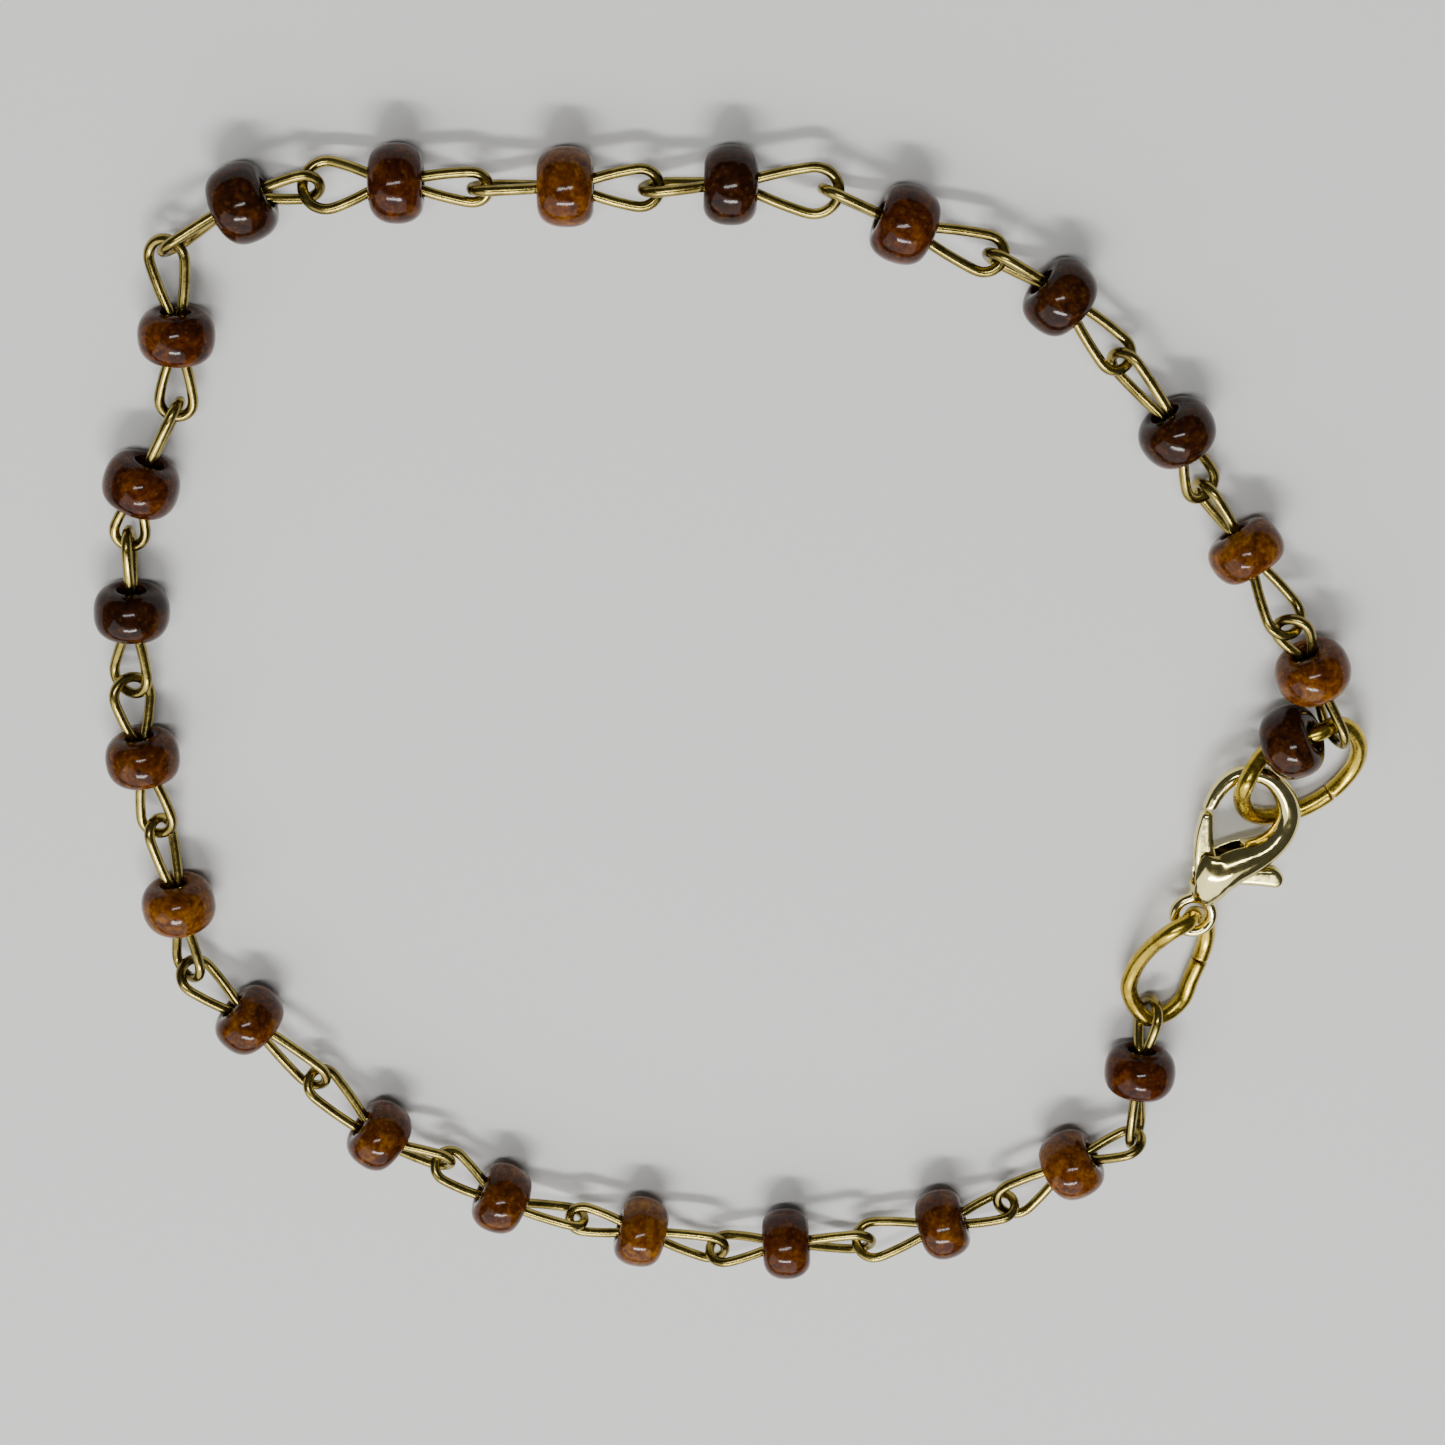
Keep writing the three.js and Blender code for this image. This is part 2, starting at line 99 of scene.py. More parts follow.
LINK_ROWS = (
    LinkRow(2, 30.7, 4.0, 70, 25, 2.6, 2.4, Tone.AMBER),
    LinkRow(3, 26.9, 10.5, -38, 65, 2.7, 2.4, Tone.AMBER, length=0.94),
    LinkRow(4, 23.0, 16.9, -25, 45, 2.4, 2.3, Tone.DEEP),
    LinkRow(5, 16.8, 24.0, -20, 65, 2.3, 2.3, Tone.DEEP),
    LinkRow(6, 9.0, 27.7, 0, 75, 2.5, 2.3, Tone.RED, length=1.08),
    LinkRow(7, 0.4, 29.7, 5, 90, 3.0, 2.3, Tone.DEEP),
    LinkRow(8, -7.7, 29.6, 0, 85, 2.5, 2.3, Tone.AMBER, length=1.05),
    LinkRow(9, -16.0, 29.8, 10, -30, 2.2, 3.0, Tone.RED),
    LinkRow(10, -23.6, 28.8, 32, 72, 2.2, 2.5, Tone.DEEP, length=1.06, girth=1.02),
    LinkRow(11, -27.3, 22.0, -20, 0, 2.6, 2.3, Tone.RED),
    LinkRow(12, -29.6, 14.1, 85, 0, 2.2, 2.2, Tone.RED, length=1.04),
    LinkRow(13, -30.6, 7.1, 90, -28, 2.2, 2.7, Tone.DEEP),
    LinkRow(14, -30.6, -1.2, 32, -10, 2.6, 2.3, Tone.BROWN),
    LinkRow(15, -29.3, -9.9, 55, -42, 2.2, 2.5, Tone.AMBER, length=1.05),
    LinkRow(16, -25.9, -17.0, 52, -25, 2.5, 2.4, Tone.BROWN),
    LinkRow(17, -19.1, -24.3, 40, -35, 2.3, 2.2, Tone.BROWN),
    LinkRow(18, -12.4, -28.4, 36, 85, 2.3, 2.2, Tone.BROWN),
    LinkRow(19, -4.6, -30.6, 5, -18, 2.1, 2.4, Tone.AMBER),
    LinkRow(20, 3.6, -31.4, 65, -35, 2.4, 2.6, Tone.RED),
    LinkRow(21, 12.4, -30.1, 36, 62, 2.6, 2.2, Tone.BROWN),
    LinkRow(22, 19.5, -26.2, -3, 75, 2.6, 2.4, Tone.AMBER, length=1.06),
    LinkRow(23, 23.0, -20.2, 115, 70, 2.4, 2.6, Tone.RED),
)
# Small moves of a link's first meeting point where the chain turns a corner.
CORNERS = {11: (-0.3, 0.0, 0.0), 23: (0.1, 0.0, -0.55)}
# Row whose bead ties the layout to the frame, and how far the ring bead's hole dips along the ring.
TIE_ROW = 12
RING_BEAD_DIP = np.array((0.0, 0.0, 0.55))
# Middles of the two rings' wires, each from its cut round to its cut.
UPPER_RING = np.array((
    (32.5, -3.8, 0.6), (33.6, -2.2, 0.8), (33.7, -0.8, 1.3), (33.1, 0.4, 1.9), (32.2, 0.9, 2.3),
    (31.2, 0.7, 2.85), (28.6, -0.7, 2.35), (27.6, -2.0, 3.05), (27.5, -3.4, 2.4), (28.2, -4.7, 1.4),
    (29.4, -5.2, 0.7), (31.0, -4.8, 0.6),
))
LOWER_RING = np.array((
    (26.1, -13.9, 0.6), (25.7, -15.1, 0.6), (25.3, -16.4, 0.6), (24.4, -17.2, 0.8), (23.4, -17.3, 1.1),
    (22.6, -16.4, 1.2), (22.2, -15.2, 1.4), (22.5, -13.8, 1.6), (23.2, -12.3, 2.2), (24.1, -11.1, 2.8),
    (25.0, -10.6, 2.6), (25.4, -10.5, 1.9), (25.7, -10.8, 1.3), (26.2, -11.3, 0.9), (26.4, -12.5, 0.6),
))
# Claw of the clasp from its tip round to its root: x, y, width in the plane, thickness across it.
CLAW = np.array((
    (6.1, 1.84, 0.78, 0.86), (7.05, 1.82, 0.84, 0.9), (7.83, 1.62, 0.9, 0.94), (8.5, 1.16, 0.9, 1.0),
    (8.86, 0.35, 0.92, 1.04), (8.88, -0.42, 1.0, 1.08), (8.53, -1.18, 1.08, 1.14), (7.98, -1.85, 1.18, 1.22),
    (7.2, -2.32, 1.26, 1.32), (6.26, -2.42, 1.34, 1.46), (5.5, -2.22, 1.5, 1.66), (4.8, -1.8, 1.8, 1.9),
    (4.15, -1.2, 2.2, 2.15), (3.5, -0.6, 2.4, 2.3), (2.8, -0.25, 2.45, 2.2), (2.1, -0.15, 2.1, 1.85),
    (1.45, -0.04, 1.8, 1.3), (0.9, 0.06, 1.35, 0.75),
))
# Swelling of the clasp's body on the lever's side, in the same columns.
CLASP_BODY = np.array((
    (3.95, -0.3, 3.3, 1.9), (3.2, 0.0, 2.85, 2.1), (2.5, 0.1, 2.45, 2.0), (1.8, 0.08, 1.9, 1.6),
    (1.2, 0.05, 1.35, 1.1),
))
# Edge of the lever from its tip down the outside, round the thumb tab and back up the inside: x, y.
LEVER_OUTLINE = np.array((
    (5.8, 2.08), (5.2, 2.05), (4.47, 1.9), (3.84, 1.7), (3.03, 1.38), (2.35, 0.95), (1.98, 0.4),
    (2.0, -0.2), (2.3, -0.8), (2.65, -1.6), (2.9, -2.4), (3.05, -3.0), (3.15, -3.4), (3.42, -3.62),
    (3.77, -3.58), (4.05, -3.32), (4.2, -2.9), (4.05, -2.4), (3.75, -1.6), (3.45, -0.8), (3.42, -0.2),
    (3.6, 0.2), (4.18, 0.66), (4.61, 0.94), (5.13, 1.18), (5.6, 1.38), (5.96, 1.62),
))


@dataclass(frozen=True)
class Layout:
    """Carries the layout's millimetres into the frame's metres."""

    shift: np.ndarray

    @classmethod
    def from_frame(cls) -> "Layout":
        """Measures the shift between the rows and the frame on one bead.

        Returns:
            The layout that fits the frame.
        """
        row = LINK_ROWS[TIE_ROW]
        middle = node_middle(bead_name(row.bead))
        return cls(np.array((middle[0] - row.x, middle[1] - row.y, 0.0)))

    def place(self, points: np.ndarray) -> np.ndarray:
        """Gives layout points in the frame, still in millimetres."""
        return points + self.shift


def bead_name(number: int) -> str:
    """Gives the frame's name of a bead."""
    return f"bead_{number:02d}"


def node_middle(name: str) -> np.ndarray:
    """Gives the middle of a frame node's box, in millimetres."""
    low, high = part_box(name)
    return np.array((low + high) / 2) / MM


# ---------------------------------------------------------------- shape helpers

def unit(vector: np.ndarray) -> np.ndarray:
    """Gives the vector at length one."""
    return vector / np.linalg.norm(vector)


def spline(points: np.ndarray, closed: bool, steps: int) -> np.ndarray:
    """Runs a smooth centripetal curve through points.

    Args:
        points: One row per point; columns beyond the first three are carried along.
        closed: Whether the curve joins its last point to its first.
        steps: Points made for each stretch.

    Returns:
        The points of the curve, without the repeated end where it is closed.
    """
    count = len(points)
    if closed:
        padded = np.vstack((points[-1:], points, points[:2]))
        spans = count
    else:
        padded = np.vstack((2 * points[0] - points[1], points, 2 * points[-1] - points[-2]))
        spans = count - 1
    made = []
    for i in range(spans):
        a, b, c, d = padded[i:i + 4]
        knots = [0.0]
        for near, far in ((a, b), (b, c), (c, d)):
            knots.append(knots[-1] + max(np.linalg.norm((far - near)[:3]), 1e-6) ** 0.5)
        t0, t1, t2, t3 = knots
        for t in np.linspace(t1, t2, steps, endpoint=False):
            ab = (a * (t1 - t) + b * (t - t0)) / (t1 - t0)
            bc = (b * (t2 - t) + c * (t - t1)) / (t2 - t1)
            cd = (c * (t3 - t) + d * (t - t2)) / (t3 - t2)
            abc = (ab * (t2 - t) + bc * (t - t0)) / (t2 - t0)
            bcd = (bc * (t3 - t) + cd * (t - t1)) / (t3 - t1)
            made.append((abc * (t2 - t) + bcd * (t - t1)) / (t2 - t1))
    if not closed:
        made.append(points[-1])
    return np.array(made)


def evenly(points: np.ndarray, step: float) -> np.ndarray:
    """Respaces an open line of points at about one even step.

    Args:
        points: The line, one row per point.
        step: Wanted distance between points.

    Returns:
        The respaced line, with the same two ends.
    """
    run = np.concatenate(((0.0,), np.cumsum(np.linalg.norm(np.diff(points, axis=0), axis=1))))
    marks = np.linspace(0.0, run[-1], max(8, round(run[-1] / step)) + 1)
    return np.column_stack([np.interp(marks, run, points[:, k]) for k in range(points.shape[1])])


def soften(points: np.ndarray, passes: int) -> np.ndarray:
    """Rounds the corners of an open line of points by averaging neighbours.

    Args:
        points: The line, one row per point.
        passes: How often each point is averaged.

    Returns:
        The rounded line, with the same two ends.
    """
    line = points.copy()
    for _ in range(passes):
        line[1:-1] = 0.25 * line[:-2] + 0.5 * line[1:-1] + 0.25 * line[2:]
    return line


def tube(line: np.ndarray, radii: np.ndarray, sides: int) -> Shape:
    """Sweeps a round bar along a line without letting it twist.

    Args:
        line: Points of the bar's middle.
        radii: The bar's radius at each point.
        sides: Corners round the bar.

    Returns:
        The bar's points and faces, with a flat face at each end.
    """
    tangents = np.gradient(line, axis=0)
    tangents /= np.linalg.norm(tangents, axis=1)[:, None]
    side = unit(np.cross(tangents[0], (0.3, 0.2, 0.93)))
    angles = np.arange(sides) * 2 * math.pi / sides
    rings = []
    for middle, tangent, radius in zip(line, tangents, radii):
        side = unit(side - tangent * np.dot(side, tangent))
        other = np.cross(tangent, side)
        rings.append(middle + radius * (np.outer(np.cos(angles), side) + np.outer(np.sin(angles), other)))
    return np.vstack(rings), grid_faces(len(line), sides, ends=True)


def grid_faces(rows: int, sides: int, ends: bool = False, looped: bool = False) -> Faces:
    """Makes the faces of rings of points that follow one another.

    Args:
        rows: How many rings there are.
        sides: Points in each ring.
        ends: Whether the first and last rings are closed by a face.
        looped: Whether the last ring joins the first.

    Returns:
        The faces as corner numbers.
    """
    faces: Faces = []
    for i in range(rows if looped else rows - 1):
        low, high = i * sides, (i + 1) % rows * sides
        for k in range(sides):
            faces.append((low + k, low + (k + 1) % sides, high + (k + 1) % sides, high + k))
    if ends:
        faces.append(tuple(range(sides))[::-1])
        faces.append(tuple(range((rows - 1) * sides, rows * sides)))
    return faces


def make_piece(name: str, shape: Shape, scale: float = MM) -> bpy.types.Object:
    """Makes a smooth-shaded mesh object.

    Args:
        name: The object's name.
        shape: Its points and faces.
        scale: Size of the points' unit in the mesh's own.

    Returns:
        The object, linked to the scene.
    """
    points, faces = shape
    mesh = bpy.data.meshes.new(name)
    mesh.from_pydata((points * scale).tolist(), [], faces)
    mesh.polygons.foreach_set("use_smooth", [True] * len(mesh.polygons))
    mesh.update()
    piece = bpy.data.objects.new(name, mesh)
    bpy.context.scene.collection.objects.link(piece)
    return piece


def applied(piece: bpy.types.Object, kind: str, **settings: Any) -> None:
    """Adds a modifier to a piece, bakes its result into the mesh and takes it off again.

    Args:
        piece: The object that is changed.
        kind: The modifier's type name.
        **settings: Values set on the modifier.
    """
    modifier = piece.modifiers.new(kind, kind)
    for key, value in settings.items():
        setattr(modifier, key, value)
    graph = bpy.context.evaluated_depsgraph_get()
    made = bpy.data.meshes.new_from_object(piece.evaluated_get(graph))
    piece.modifiers.clear()
    spent = piece.data
    piece.data = made
    bpy.data.meshes.remove(spent)


def carry(piece: bpy.types.Object, body: str, node: str) -> None:
    """Hangs a piece on its body in place of its frame node, which it hides.

    Args:
        piece: The dressed object.
        body: Body that it rides on.
        node: Frame node that it stands for.
    """
    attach(piece, body)
    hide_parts(node)
    LOG.info("%s stands for %s: %d faces", piece.name, node, len(piece.data.polygons))


# ---------------------------------------------------------------- finishes

def linear(code: str) -> tuple[float, float, float, float]:
    """Turns an sRGB hex code into linear colour.

    Args:
        code: The colour as "#rrggbb".

    Returns:
        Linear red, green and blue, with full alpha.
    """
    channels = [int(code[i:i + 2], 16) / 255 for i in (1, 3, 5)]
    bent = [c / 12.92 if c <= 0.04045 else ((c + 0.055) / 1.055) ** 2.4 for c in channels]
    return (bent[0], bent[1], bent[2], 1.0)


def add_node(
    tree: bpy.types.NodeTree,
    kind: str,
    settings: dict[str, Any] | None = None,
    values: dict[str | int, Any] | None = None,
    links: dict[str | int, bpy.types.NodeSocket] | None = None,
) -> bpy.types.Node:
    """Adds one shader node.

    Args:
        tree: The material's node tree.
        kind: The node's type name.
        settings: Attributes set on the node; "ramp" gives (position, hex) stops of a colour ramp.
        values: Values set straight on its input sockets.
        links: Sockets of earlier nodes that feed its inputs.

    Returns:
        The new node.
    """
    node = tree.nodes.new(kind)
    for key, value in (settings or {}).items():
        if key == "ramp":
            stops = node.color_ramp.elements
            while len(stops) < len(value):
                stops.new(1.0)
            for stop, (position, code) in zip(stops, value):
                stop.position = position
                stop.color = linear(code)
        else:
            setattr(node, key, value)
    for key, value in (values or {}).items():
        node.inputs[key].default_value = value
    for key, socket in (links or {}).items():
        tree.links.new(socket, node.inputs[key])
    return node


def per_metre(size_mm: float) -> float:
    """Gives the pattern scale whose features are that many millimetres across."""
    return 1.0 / (size_mm * MM)


def new_material(name: str) -> bpy.types.Material:
    """Makes an empty node material.

    Args:
        name: The material's name.

    Returns:
        The material, with no nodes in its tree.
    """
    material = bpy.data.materials.new(name)
    material.use_nodes = True
    material.node_tree.nodes.clear()
    return material


@dataclass(frozen=True)
class GlassFinish:
    """Streaky, mottled pressed glass with a fired glaze.

    Molten swirls of red-brown and amber run through each bead under a fired, glossy skin; small ochre
    flecks of glaze lie just under it. The eye gets a deep, warm body with sharp small highlights.
    """

    name: str
    deep: str
    body: str
    warm: str
    fleck: str
    swirl_mm: float = 1.5
    mottle_mm: float = 0.3
    fleck_mm: float = 0.36
    roughness: float = 0.1
    ior: float = 1.38

    def material(self) -> bpy.types.Material:
        """Builds the glass.

        Returns:
            The material.
        """
        material = new_material(self.name)
        tree = material.node_tree
        place = add_node(tree, "ShaderNodeTexCoord").outputs["Object"]
        swirl = add_node(
            tree, "ShaderNodeTexNoise",
            values={"Scale": per_metre(self.swirl_mm), "Detail": 5.0, "Roughness": 0.62, "Distortion": 1.4},
            links={"Vector": place},
        )
        streaks = add_node(
            tree, "ShaderNodeValToRGB",
            settings={"ramp": ((0.3, self.deep), (0.5, self.body), (0.68, self.warm))},
            links={"Fac": swirl.outputs["Fac"]},
        )
        mottle = add_node(
            tree, "ShaderNodeTexNoise",
            values={"Scale": per_metre(self.mottle_mm), "Detail": 3.0, "Roughness": 0.6},
            links={"Vector": place},
        )
        shade = add_node(
            tree, "ShaderNodeValToRGB",
            settings={"ramp": ((0.38, "#7a6a62"), (0.6, "#ffffff"))},
            links={"Fac": mottle.outputs["Fac"]},
        )
        mottled = add_node(
            tree, "ShaderNodeMix",
            settings={"data_type": "RGBA", "blend_type": "MULTIPLY"},
            values={0: 0.55},
            links={6: streaks.outputs["Color"], 7: shade.outputs["Color"]},
        )
        cells = add_node(
            tree, "ShaderNodeTexVoronoi",
            values={"Scale": per_metre(self.fleck_mm), "Randomness": 1.0},
            links={"Vector": place},
        )
        flecks = add_node(
            tree, "ShaderNodeMapRange",
            values={"From Min": 0.34, "From Max": 0.12, "To Min": 0.0, "To Max": 0.32},
            links={"Value": cells.outputs["Distance"]},
        )
        sparse = add_node(
            tree, "ShaderNodeMath",
            settings={"operation": "MULTIPLY"},
            links={0: flecks.outputs["Result"], 1: swirl.outputs["Fac"]},
        )
        flecked = add_node(
            tree, "ShaderNodeMix",
            settings={"data_type": "RGBA"},
            values={7: linear(self.fleck)},
            links={0: sparse.outputs["Value"], 6: mottled.outputs[2]},
        )
        gloss = add_node(
            tree, "ShaderNodeMapRange",
            values={"To Min": self.roughness * 0.6, "To Max": self.roughness * 1.6},
            links={"Value": mottle.outputs["Fac"]},
        )
        ripple = add_node(
            tree, "ShaderNodeBump",
            values={"Strength": 0.25, "Distance": 0.02 * MM},
            links={"Height": mottle.outputs["Fac"]},
        )
        shader = add_node(
            tree, "ShaderNodeBsdfPrincipled",
            values={
                "IOR": self.ior,
                "Specular IOR Level": 0.3,
                "Subsurface Weight": 0.06,
                "Subsurface Radius": (1.0, 0.35, 0.12),
                "Subsurface Scale": 0.8 * MM,
            },
            links={
                "Base Color": flecked.outputs[2],
                "Roughness": gloss.outputs["Result"],
                "Normal": ripple.outputs["Normal"],
            },
        )
        add_node(tree, "ShaderNodeOutputMaterial", links={"Surface": shader.outputs["BSDF"]})
        return material


@dataclass(frozen=True)
class MetalFinish:
    """Plated or bare yellow metal with handling wear.

    Broad cloudy tarnish lies between rubbed places, with fine scuffs over all. The eye gets changes of
    colour along the metal and glints that break up instead of running clean.
    """

    name: str
    clean: str
    dull: str
    roughness: float
    cloud_mm: float
    scuff_mm: float
    scuff_depth_mm: float
    dull_from: float = 0.35
    dull_to: float = 0.62

    def material(self) -> bpy.types.Material:
        """Builds the metal.

        Returns:
            The material.
        """
        material = new_material(self.name)
        tree = material.node_tree
        place = add_node(tree, "ShaderNodeTexCoord").outputs["Object"]
        cloud = add_node(
            tree, "ShaderNodeTexNoise",
            values={"Scale": per_metre(self.cloud_mm), "Detail": 4.0, "Roughness": 0.6, "Distortion": 0.6},
            links={"Vector": place},
        )
        colour = add_node(
            tree, "ShaderNodeValToRGB",
            settings={"ramp": ((self.dull_from, self.dull), (self.dull_to, self.clean))},
            links={"Fac": cloud.outputs["Fac"]},
        )
        scuff = add_node(
            tree, "ShaderNodeTexNoise",
            values={"Scale": per_metre(self.scuff_mm), "Detail": 3.0, "Roughness": 0.65},
            links={"Vector": place},
        )
        gloss = add_node(
            tree, "ShaderNodeMapRange",
            values={
                "From Min": 0.3, "From Max": 0.7,
                "To Min": self.roughness * 0.75, "To Max": self.roughness * 1.5,
            },
            links={"Value": scuff.outputs["Fac"]},
        )
        bump = add_node(
            tree, "ShaderNodeBump",
            values={"Strength": 0.3, "Distance": self.scuff_depth_mm * MM},
            links={"Height": scuff.outputs["Fac"]},
        )
        shader = add_node(
            tree, "ShaderNodeBsdfPrincipled",
            values={"Metallic": 1.0},
            links={
                "Base Color": colour.outputs["Color"],
                "Roughness": gloss.outputs["Result"],
                "Normal": bump.outputs["Normal"],
            },
        )
        add_node(tree, "ShaderNodeOutputMaterial", links={"Surface": shader.outputs["BSDF"]})
        return material


GLASS = {
    Tone.DEEP: GlassFinish("pressed_glass_deep_brown", "#190902", "#321606", "#522b0a", "#7a551c"),
    Tone.RED: GlassFinish("pressed_glass_red_brown", "#230c03", "#451d07", "#68380b", "#8c6220"),
    Tone.BROWN: GlassFinish("pressed_glass_warm_brown", "#2c1204", "#532808", "#784810", "#9c752a"),
    Tone.AMBER: GlassFinish("pressed_glass_amber", "#3c1805", "#66360a", "#885714", "#a88034"),
}
# Drawn brass left to darken: olive in the hollows of the tarnish, yellow where it rubs.
LINK_BRASS = MetalFinish("drawn_antique_brass", "#a6944f", "#706232", 0.2, 1.6, 0.2, 0.003)
# Gold-plated drawn wire: a warmer, brighter yellow that has thinned in places.
RING_GOLD = MetalFinish("gold_plated_ring_wire", "#d0b548", "#967d25", 0.22, 1.8, 0.25, 0.003)
# Cast and tumbled, then flashed with pale gold: almost mirror-bright with soft pits.
CLASP_GOLD = MetalFinish("tumbled_pale_gold_casting", "#e6d896", "#c8ba76", 0.11, 2.4, 0.4, 0.002)


# ---------------------------------------------------------------- sub-assemblies

@dataclass
class Bead:
    """A drilled glass bead: a rounded ring of glass with softly broken mouths."""

    number: int
    middle: np.ndarray
    along: np.ndarray
    tone: Tone
    diameter: float = 3.94
    length: float = 2.66
    bore: float = 1.5
    face_radius: float = 0.95
    rim: float = 0.14
    squareness: float = 2 / 2.25
    lump: float = 0.05
    lump_scale: float = 0.62
    around: int = 56
    piece: bpy.types.Object | None = field(default=None, init=False)

    def profile(self) -> np.ndarray:
        """Works out the half-section that is turned about the hole.

        Returns:
            The closed section as (radius, place along the hole) rows.
        """
        half = self.length / 2
        bulge = self.diameter / 2 - self.face_radius
        rim = self.rim
        rows = []
        for angle in np.radians(np.linspace(-82, 82, 27)):
            reach = self.face_radius + bulge * math.cos(angle) ** self.squareness
            rows.append((reach, math.copysign(half * abs(math.sin(angle)) ** self.squareness, angle)))
        mouth = rows[-1][1]
        for angle in np.radians((60, 30, 5)):
            rows.append((self.bore / 2 + rim - rim * math.cos(angle), mouth - rim + rim * math.sin(angle)))
        for place in (0.5, 0.0, -0.5):
            rows.append((self.bore / 2, place * mouth))
        for angle in np.radians((5, 30, 60)):
            rows.append((self.bore / 2 + rim - rim * math.cos(angle), rim - mouth - rim * math.sin(angle)))
        return np.array(rows)

    def build(self) -> None:
        """Turns the section about the hole and lets the glass run slightly uneven."""
        across, up = level_axes(self.along)
        rows = self.profile()
        rings = []
        for turn in np.arange(self.around) * 2 * math.pi / self.around:
            out = math.cos(turn) * across + math.sin(turn) * up
            rings.append(np.outer(rows[:, 0], out) + np.outer(rows[:, 1], self.along))
        points = np.vstack(rings)
        seed = np.array((self.number * 3.7, self.number * 1.9, 0.0))
        swell = np.array([noise.noise(Vector(p * self.lump_scale + seed)) for p in points])
        points = points * (1.0 + self.lump * swell / (self.diameter / 2))[:, None] + self.middle
        faces = grid_faces(self.around, len(rows), looped=True)
        self.piece = make_piece(f"glass_bead_{self.number:02d}", (points, faces))

    def dress(self, materials: dict[Tone, bpy.types.Material]) -> None:
        """Gives the bead its own depth of glass."""
        self.piece.data.materials.append(materials[self.tone])
        carry(self.piece, "bracelet", bead_name(self.number))


def level_axes(along: np.ndarray) -> tuple[np.ndarray, np.ndarray]:
    """Gives the level direction across a bead's hole and the one at right angles to both."""
    across = unit(np.cross(along, (0.0, 0.0, 1.0)))
    return across, np.cross(across, along)


@dataclass
class WireLink:
    """One length of brass wire through a bead, bent to a teardrop loop at each end."""

    row: LinkRow
    middle: np.ndarray
    along: np.ndarray
    meet_in: np.ndarray
    meet_out: np.ndarray
    wire: float = 0.55
    strand: float = 0.33
    reach: float = 0.45
    bead_length: float = 2.66
    inset: float = 0.15
    end_gap: float = 0.3
    bow: float = 0.05
    step: float = 0.13
    bend_passes: int = 5
    sides: int = 14
    piece: bpy.types.Object | None = field(default=None, init=False)

    def turned(self, angle: float) -> np.ndarray:
        """Gives the direction across the hole at an angle from level."""
        across, up = level_axes(self.along)
        return across * math.cos(angle) + up * math.sin(angle)

    def loop(self, mouth: np.ndarray, meet: np.ndarray, side: np.ndarray, width: float) -> np.ndarray:
        """Runs the teardrop from a bead's mouth to a meeting point and back.

        Args:
            mouth: Middle of the hole's mouth.
            meet: Where the loop hooks its neighbour.
            side: Direction that the loop spreads in.
            width: Outside width of the loop.

        Returns:
            Points of the wire's middle.
        """
        span = float(np.linalg.norm(meet - mouth)) + self.reach
        forward = unit(meet - mouth)
        across = unit(side - forward * np.dot(side, forward))
        radius = (width - self.wire) / 2
        centre = span - radius
        flare = math.asin((radius - self.strand) / centre)
        angles = np.linspace(math.pi / 2 + flare, -math.pi / 2 - flare, 27)
        arc = np.column_stack((centre + radius * np.cos(angles), radius * np.sin(angles)))
        start = np.array((-self.strand * math.sin(flare), self.strand * math.cos(flare)))
        share = np.linspace(0.0, 1.0, 8, endpoint=False)
        leg = start + np.outer(share, arc[0] - start)
        leg[:, 1] += self.bow * np.sin(share * math.pi)
        flat = np.vstack((leg, arc, (leg * (1, -1))[::-1]))
        return mouth + np.outer(flat[:, 0], forward) + np.outer(flat[:, 1], across)

    def line(self) -> np.ndarray:
        """Works out the wire's whole run, with its two ends facing each other inside the bead.

        Returns:
            Points of the wire's middle.
        """
        row = self.row
        half = self.bead_length / 2 - self.inset
        swing = (row.turn_out - row.turn_in + 90) % 180 - 90

        def side(x: float) -> np.ndarray:
            """Gives the way the two strands lie apart at a place along the hole."""
            return self.turned(math.radians(row.turn_in + swing * (x / (2 * half) + 0.5)))

        def strand(places: Sequence[float], sign: int) -> np.ndarray:
            """Gives points of one strand in the hole."""
            return np.array([self.middle + self.along * x + side(x) * sign * self.strand for x in places])

        out_loop = self.loop(self.middle + self.along * half, self.meet_out, side(half), row.wide_out)
        in_loop = self.loop(self.middle - self.along * half, self.meet_in, -side(-half), row.wide_in)
        deep = half * 0.85
        inside = np.linspace(self.end_gap / 2, deep, 5)
        across = np.linspace(deep, -deep, 9)
        return np.vstack((
            strand(inside, 1), out_loop, strand(across, -1), in_loop, strand(-inside[::-1], 1),
        ))

    def build(self) -> None:
        """Sweeps the wire with gently rounded bends."""
        line = soften(evenly(self.line(), self.step), self.bend_passes)
        radii = np.full(len(line), self.wire / 2)
        shape = tube(line, radii, self.sides)
        self.piece = make_piece(f"wire_link_{self.row.bead:02d}", shape)

    def dress(self, material: bpy.types.Material) -> None:
        """Gives the link its antique brass."""
        self.piece.data.materials.append(material)
        carry(self.piece, "bracelet", f"link_{self.row.bead:02d}")


